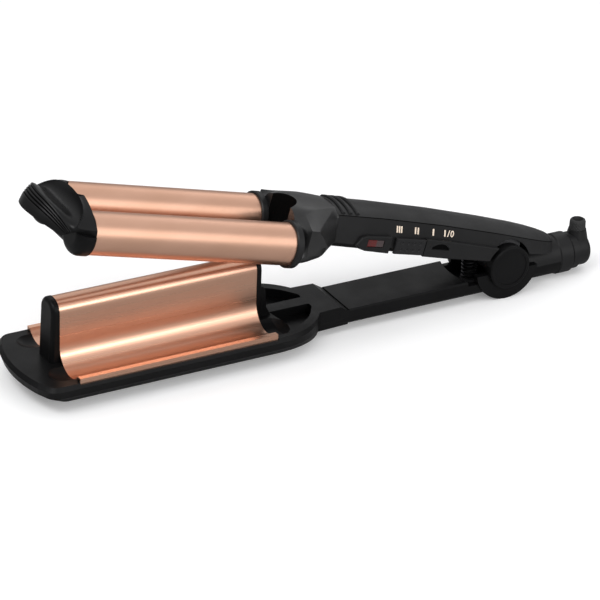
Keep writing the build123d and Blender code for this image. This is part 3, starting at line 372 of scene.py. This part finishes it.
def shoulder():
    """Sculpted block between barrels and handle.

    The half form is a cage of named corners, mirrored across the middle and subdivided; the creased
    cage edges stay as crisp lines between hollow facets. The ways and pockets are cut out last.
    A corner's first letter is its ring, from F at the front over R and M to J at the handle; the
    second goes from 0 on top in the middle, round the side, to g underneath.
    """
    corners = {
        "F0": (-141.4, 0, 24.0), "Fa": (-141.4, 12.5, 23.1), "Fb": (-141.4, 15.5, 19.0),
        "Fc": (-141.4, 22.0, 13.4), "Fd": (-141.4, 25.5, 8.0), "Fe": (-141.4, 28.6, 2.6),
        "Ff": (-141.4, 24.0, -4.2), "Fg": (-141.4, 0, -4.2),
        "R0": (-136.5, 0, 24.9), "Ra": (-137.5, 11.5, 24.2), "Rb": (-135.8, 16.0, 21.6),
        "Rc": (-137.0, 27.6, 17.9), "Rd": (-137.6, 28.6, 9.3), "Re": (-136.8, 28.8, 4.6),
        "Rf": (-134.5, 25.6, -3.6), "Rg": (-135.0, 0, -4.0),
        "M0": (-127.0, 0, 25.2), "Ma": (-128.2, 11.6, 24.5), "Mc": (-132.2, 27.2, 17.6),
        "Md": (-122.4, 23.8, 7.9), "Me": (-123.6, 22.4, 3.0), "Mf": (-128.4, 22.0, -1.6),
        "Mg": (-126.0, 0, -1.4),
        "J0": (-113.6, 0, 24.6), "Ja": (-113.6, 7.6, 23.9), "Jb": (-113.6, 12.8, 21.7),
        "Jc": (-113.6, 14.3, 15.4), "Jd": (-113.6, 16.0, 8.0), "Jf": (-113.6, 13.2, 4.7),
        "Jg": (-113.6, 0, 4.7)}
    plates = """F0 Fa Ra R0/R0 Ra Ma M0/M0 Ma Ja J0/Fa Fb Rb Ra/Ra Rb Ma/Rb Rc Mc Ma/Ma Mc Ja/Fb Fc Rc Rb
        /Fc Fd Rd Rc/Rc Rd Md Mc/Mc Md Jd Jc/Mc Jc Jb Ja/Rd Re Me Md/Fd Fe Re Rd/Md Me Jf Jd/Fe Ff Rf Re
        /Re Rf Mf Me/Me Mf Jf/Ff Fg Rg Rf/Rf Rg Mg Mf/Mf Mg Jg Jf/F0 Fg Ff Fe Fd Fc Fb Fa
        /J0 Ja Jb Jc Jd Jf Jg"""
    crisp = """Rb Ma/Ma Ja/Fa Fb/Fb Rb/Rb Rc/Rc Rd/Rc Mc/Mc Ja/Mc Md/Rd Md/Rd Re/Fd Rd/Md Jd/Re Me/Fe Re/Me Jf
        /Mf Me/F0 Fa/Fb Fc/Fc Fd/Fd Fe/Fe Ff/Ff Fg/J0 Ja/Ja Jb/Jb Jc/Jc Jd/Jd Jf/Jf Jg"""
    names = list(corners)
    half = np.array(list(corners.values()))
    points = np.concatenate([half, half * [1, -1, 1]])
    faces = []
    for plate in plates.split("/"):
        loop = [names.index(n) for n in plate.split()]
        faces += [loop, [i + len(names) for i in loop][::-1]]
    piece = make_piece("shoulder", upper(points), faces, "upper_arm", shoulder_black)
    shape = bmesh.new()
    shape.from_mesh(piece.data)
    crease = shape.edges.layers.float.new("crease_edge")
    shape.verts.ensure_lookup_table()
    for pair in crisp.split("/"):
        for side in (0, len(names)):
            ends = [shape.verts[names.index(n) + side] for n in pair.split()]
            shape.edges.get(ends)[crease] = 1.0
    bmesh.ops.remove_doubles(shape, verts=shape.verts, dist=1e-6)
    bmesh.ops.recalc_face_normals(shape, faces=shape.faces)
    shape.to_mesh(piece.data)
    shape.free()
    rounding = piece.modifiers.new("rounding", "SUBSURF")
    rounding.levels = rounding.render_levels = 4
    for solid in (ridge_way(), fuse_pocket(), spine_relief()):
        cut_away(piece, *solid)
    face_out(piece)
    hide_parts("shoulder_block")


def prism(outline, low, high):
    """A flat outline in the plan of the closed arm, carried straight up from low to high."""
    x, y = np.asarray(outline, float).T
    return slab(upper(curve(x, y, low)), upper(curve(x, y, high)))


def ridge_way():
    """Round-ended way for the ridge, through the front of the shoulder."""
    half_width, centre, front, below, above = 9.8, -144.0, -160, -40, 60
    turn = np.linspace(-math.pi / 2, math.pi / 2, 41)
    arc = np.stack([centre + half_width * np.cos(turn), half_width * np.sin(turn)], -1)
    return prism(np.concatenate([arc, [(front, half_width), (front, -half_width)]]), below, above)


def fuse_pocket():
    """Pocket for the fuse, open towards the handle."""
    front, rear, side, floor, roof = -127, -110, 9, 9, 19
    return prism([(front, -side), (rear, -side), (rear, side), (front, side)], floor, roof)


def spine_relief():
    """Flat under the front of the shoulder that clears the spine of the rear deck when the arms close."""
    half = [(-148, -21), (-135, -21), (-135, -11.2), (-122, -11.2)]
    below, roof = -20, -1.2
    return prism(half + [(x, -y) for x, y in reversed(half)], below, roof)


def cut_away(piece, points, faces):
    """Takes a closed solid out of a piece for good; the cut faces take the near-black of painted shade,
    darkening the ways and pockets.
    """
    tool = add_mesh("cutter", points, faces, painted_shade, smooth=False)
    face_out(tool)
    cut = piece.modifiers.new("cut", "BOOLEAN")
    cut.operation, cut.solver, cut.object = "DIFFERENCE", "EXACT", tool
    cut.material_mode = "TRANSFER"
    view = bpy.context.evaluated_depsgraph_get()
    done = bpy.data.meshes.new_from_object(piece.evaluated_get(view), depsgraph=view)
    piece.modifiers.clear()
    piece.data = done
    bpy.data.objects.remove(tool)


# ---------------------------------------------------------------- cord boot

def ribbed_boot():
    """Strain relief: a tapered sleeve with a domed end and a fine crossed pattern, turned about its axis.

    The profile runs up the outside and down the bore. Its radius carries a shallow diamond pattern
    made of two crossing sine waves, from the foot of the sleeve to near the top of the dome.
    """
    axis, bore, foot, top = 54.2, 2.8, -3.4, 9.9
    ribs, rib_slope, rib_depth = 16, 3.4, 0.13
    bend = np.linspace(0.1, 1.45, 10)
    height = np.concatenate([[foot, 4.4, 4.4], np.linspace(4.45, 8.6, 34), 8.6 + 1.6 * np.sin(bend),
                             [top, foot]])
    radius = np.concatenate([[3.4, 3.4, 4.4], np.linspace(4.42, 4.25, 34), 4.25 - 1.45 * (1 - np.cos(bend)),
                             [bore, bore]])
    depth = np.zeros(len(height))
    depth[4:44] = rib_depth            # from the sleeve's second point to the dome's seventh
    round_steps = 160
    turn = np.linspace(0, 2 * math.pi, round_steps, endpoint=False)
    height, radius, depth = height[:, None], radius[:, None], depth[:, None]
    weave = np.maximum(np.sin(ribs * turn + rib_slope * height), np.sin(ribs * turn - rib_slope * height))
    r = radius + depth * weave
    points = lower(curve(axis + r * np.cos(turn), r * np.sin(turn), height))
    faces = grid_faces(len(height), round_steps, ring=True, closed=True).tolist()
    piece = make_piece("ribbed_boot", points, faces, "cord_swivel", boot_rubber)
    face_out(piece)
    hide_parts("cord_boot")


# ---------------------------------------------------------------- marks and joint line

# Stations of the handle: place along the arm, half width, height of the joint line, height of the foot.
STATIONS = np.array([(-113.5, 16.0, 21.8, 4.8), (-85.0, 16.0, 21.3, 3.8), (-45.0, 16.0, 19.5, 2.6),
                     (-10.0, 16.0, 16.9, 2.2), (12.0, 15.8, 14.8, 2.2), (21.0, 14.9, 13.8, 2.2),
                     (27.0, 13.2, 13.0, 2.2), (31.0, 10.8, 12.4, 2.2)])
LEAN = 3.2                           # how far the sides of the tub lean in up to the joint line
UPRIGHT = 3                          # height above the foot where they start to lean
INK = 0.05                           # how far the ink stands out of the wall, and reaches into it


def handle_at(x):
    """Half width, height of the joint line and height of the foot at a place along the handle."""
    return [np.interp(x, STATIONS[:, 0], column) for column in STATIONS[:, 1:].T]


def stroke(loop):
    """One printed stroke: its outline in x and z, laid on the near side wall."""
    x, z = np.asarray(loop, float).T
    half, seam, foot = handle_at(x)
    wall = -(half - LEAN * (z - foot - UPRIGHT) / (seam - foot - UPRIGHT))
    return slab(upper(curve(x, wall - INK, z)), upper(curve(x, wall + INK, z)))


def mark_height(x):
    """Middle height of the marks, on a line that falls slowly towards the hinge."""
    return 16.35 - 0.024 * (x + 74.0)


def bar(x, width, slope=0.35):
    """Outline of an upright stroke that leans forward by the slope."""
    half_height = 1.72
    low, high = mark_height(x) - half_height, mark_height(x) + half_height
    return [(x, low), (x + width, low), (x + width - slope, high), (x - slope, high)]


def ring_bars(x, wide, tall):
    """Short outlines round an oval, for the zero."""
    line = 0.62
    turn = np.linspace(0, 2 * math.pi, 25)
    outer, inner = (np.stack([x + (wide - w) * np.cos(turn),
                              mark_height(x) + (tall - w) * np.sin(turn)], -1) for w in (0, line))
    return [[outer[i], outer[i + 1], inner[i + 1], inner[i]] for i in range(len(turn) - 1)]


def printed_marks():
    """Heat settings three, two and one, and on and off, as raised ink on the near side."""
    loops = [bar(-76.1 + 1.38 * i, 0.85) for i in range(3)]
    loops += [bar(-64.5 + 1.75 * i, 0.9) for i in range(2)]
    loops += [bar(-53.0, 1.0)]
    loops += [bar(-45.4, 0.9), bar(-43.5, 0.6, slope=-0.95), *ring_bars(-40.4, 1.15, 1.7)]
    points, faces = np.zeros((0, 3)), []
    for loop in loops:
        corners, sides = stroke(loop)
        faces += [[i + len(points) for i in side] for side in sides]
        points = np.concatenate([points, corners])
    face_out(make_piece("printed_marks", points, faces, "upper_arm", ink_cream, smooth=False))


def catch_shade():
    """Deep shade in the finger catch behind the slider: a lens outline laid on its floor."""
    outside, inside = -16.83, -16.78
    arc = np.linspace(0, math.pi, 21)
    top = np.stack([-48.0 - 5.2 * np.cos(arc), 8.1 + 2.55 * np.sin(arc) ** 0.8], -1)
    x, z = np.concatenate([top, [(-42.9, 7.75), (-53.1, 7.75)]]).T
    points, faces = slab(upper(curve(x, outside, z)), upper(curve(x, inside, z)))
    face_out(make_piece("catch_shade", points, faces, "upper_arm", painted_shade, smooth=False))


def joint_line(side, name):
    """Fine shadow line where cover and tub meet: a low four-cornered strip that follows the stations."""
    x = np.concatenate([np.linspace(-113.4, 12.0, 60), np.linspace(13.5, 30.5, 16)])
    half, seam, _ = handle_at(x)
    corners = [(0.07, -0.24), (0.05, 0.03), (-0.34, 0.14), (-0.5, -0.5)]    # outwards and up from the joint
    points = np.stack([upper(curve(x, side * (half - LEAN + y), seam + z)) for y, z in corners], 1)
    faces = grid_faces(len(x), len(corners), ring=True).tolist()
    last = (len(x) - 1) * len(corners)
    faces += [[0, 1, 2, 3], [last + 3, last + 2, last + 1, last]]
    face_out(make_piece(name, points, faces, "upper_arm", painted_shade))


cool_tip()
shoulder()
ribbed_boot()
printed_marks()
catch_shade()
joint_line(-1, "joint_line_near")
joint_line(1, "joint_line_far")

# ---------------------------------------------------------------- floor, light, camera

def studio_white():
    """Matt white that is lifted a little where the camera sees it, and is darker in reflections."""
    material = bpy.data.materials.new("studio_white")
    material.use_nodes = True
    tree = material.node_tree
    tree.nodes.clear()
    white, in_reflections, lift_strength = (0.86, 0.86, 0.86, 1), (0.42, 0.42, 0.42, 1), 0.21
    path = add_node(tree, "LightPath", {}).outputs
    seen = add_node(tree, "Math", {0: path["Is Camera Ray"], 1: path["Is Transmission Ray"]},
                    operation="ADD", use_clamp=True)
    strength = add_node(tree, "Math", {0: seen.outputs[0], 1: lift_strength}, operation="MULTIPLY")
    shade = add_node(tree, "Mix", {"Factor": path["Is Glossy Ray"], "A": white, "B": in_reflections},
                     data_type="RGBA")
    paper = add_node(tree, "BsdfDiffuse", {"Color": shade.outputs["Result"]})
    lift = add_node(tree, "Emission", {"Strength": strength.outputs[0]})
    both = add_node(tree, "AddShader", {0: paper.outputs[0], 1: lift.outputs[0]})
    add_node(tree, "OutputMaterial", {"Surface": both.outputs[0]})
    return material


def studio_floor():
    """A wide flat floor that curls up far behind the object; a soft sweep on a grid."""
    front, curl_from, back, curl_height, half_width = -3.0, 3.0, 6.0, 3.0, 4.5
    ahead = (0.5, 0.866)               # the camera's way over the floor
    rows, cols = 60, 20
    u = np.linspace(0, 1, rows)[:, None]
    v = np.linspace(-1, 1, cols)[None, :]
    run = u * (back - front) + front
    rise = np.clip((run - curl_from) / (back - curl_from), 0, 1) ** 2 * curl_height
    x = run * ahead[0] - v * half_width * ahead[1]
    y = run * ahead[1] + v * half_width * ahead[0]
    faces = grid_faces(rows, cols)[:, ::-1].tolist()
    floor = add_mesh("studio_floor", curve(x, y, rise), faces, studio_white())


def soft_box(name, place, aim, size, power):
    """A rectangular soft light that faces a point; metres and watts."""
    lamp = bpy.data.lights.new(name, "AREA")
    lamp.shape = "RECTANGLE"
    lamp.size, lamp.size_y = size
    lamp.energy = power
    holder = add_object(name, lamp)
    holder.location = place
    holder.rotation_euler = (Vector(aim) - Vector(place)).to_track_quat("-Z", "Y").to_euler()


def studio_world():
    """Plain studio air: brighter overhead than at the horizon."""
    world = bpy.data.worlds.new("studio")
    bpy.context.scene.world = world
    world.use_nodes = True
    tree = world.node_tree
    coords = add_node(tree, "TexCoord", {}).outputs["Generated"]
    up = add_node(tree, "SeparateXYZ", {"Vector": coords}).outputs["Z"]
    horizon, low_sky, overhead = (0.13, 0.13, 0.13), (0.24, 0.24, 0.245), (0.84, 0.84, 0.85)
    sky = tones(tree, up, [(0.0, horizon), (0.25, low_sky), (0.75, overhead)])
    feed(tree, tree.nodes["Background"], {"Color": sky, "Strength": 1.0})


def view_camera():
    """The camera: a long lens that looks down from the nose end, with a slight roll."""
    bearing, slope, roll = map(math.radians, (29.87, 27.19, 2.21))
    from_hinge = (-0.85866, -1.28963, 0.76190)
    level = math.cos(slope)
    ahead = Vector((math.sin(bearing) * level, math.cos(bearing) * level, -math.sin(slope)))
    right = Vector((math.cos(bearing), -math.sin(bearing), 0.0))
    up = right.cross(ahead)
    across = right * math.cos(roll) + up * math.sin(roll)
    above = -right * math.sin(roll) + up * math.cos(roll)
    data = bpy.data.cameras.new("view")
    data.lens, data.sensor_width = 192.3, 36.0
    data.clip_start, data.clip_end = 0.1, 30.0
    camera = add_object("view", data)
    turn = Matrix((across, above, -ahead)).transposed().to_4x4()
    camera.matrix_world = Matrix.Translation(Vector(HINGE) + Vector(from_hinge)) @ turn
    bpy.context.scene.camera = camera


studio_floor()
studio_world()
soft_box("key", (-0.75, -0.35, 1.05), (-0.02, 0.0, 0.04), (0.9, 0.5), 6.4)
soft_box("right_rear", (1.30, 0.73, 0.93), (0.0, 0.0, 0.04), (0.8, 0.6), 0.8)
soft_box("right_front", (0.66, -1.22, 0.55), (0.05, 0.0, 0.05), (1.5, 0.9), 4.6)
soft_box("rear", (0.75, 1.30, 0.78), (0.0, 0.0, 0.04), (1.5, 0.5), 1.3)
soft_box("front_fill", (0.15, -1.3, 0.55), (0.0, 0.0, 0.03), (0.7, 0.35), 3.6)
view_camera()
bpy.context.scene.view_settings.view_transform = "Standard"
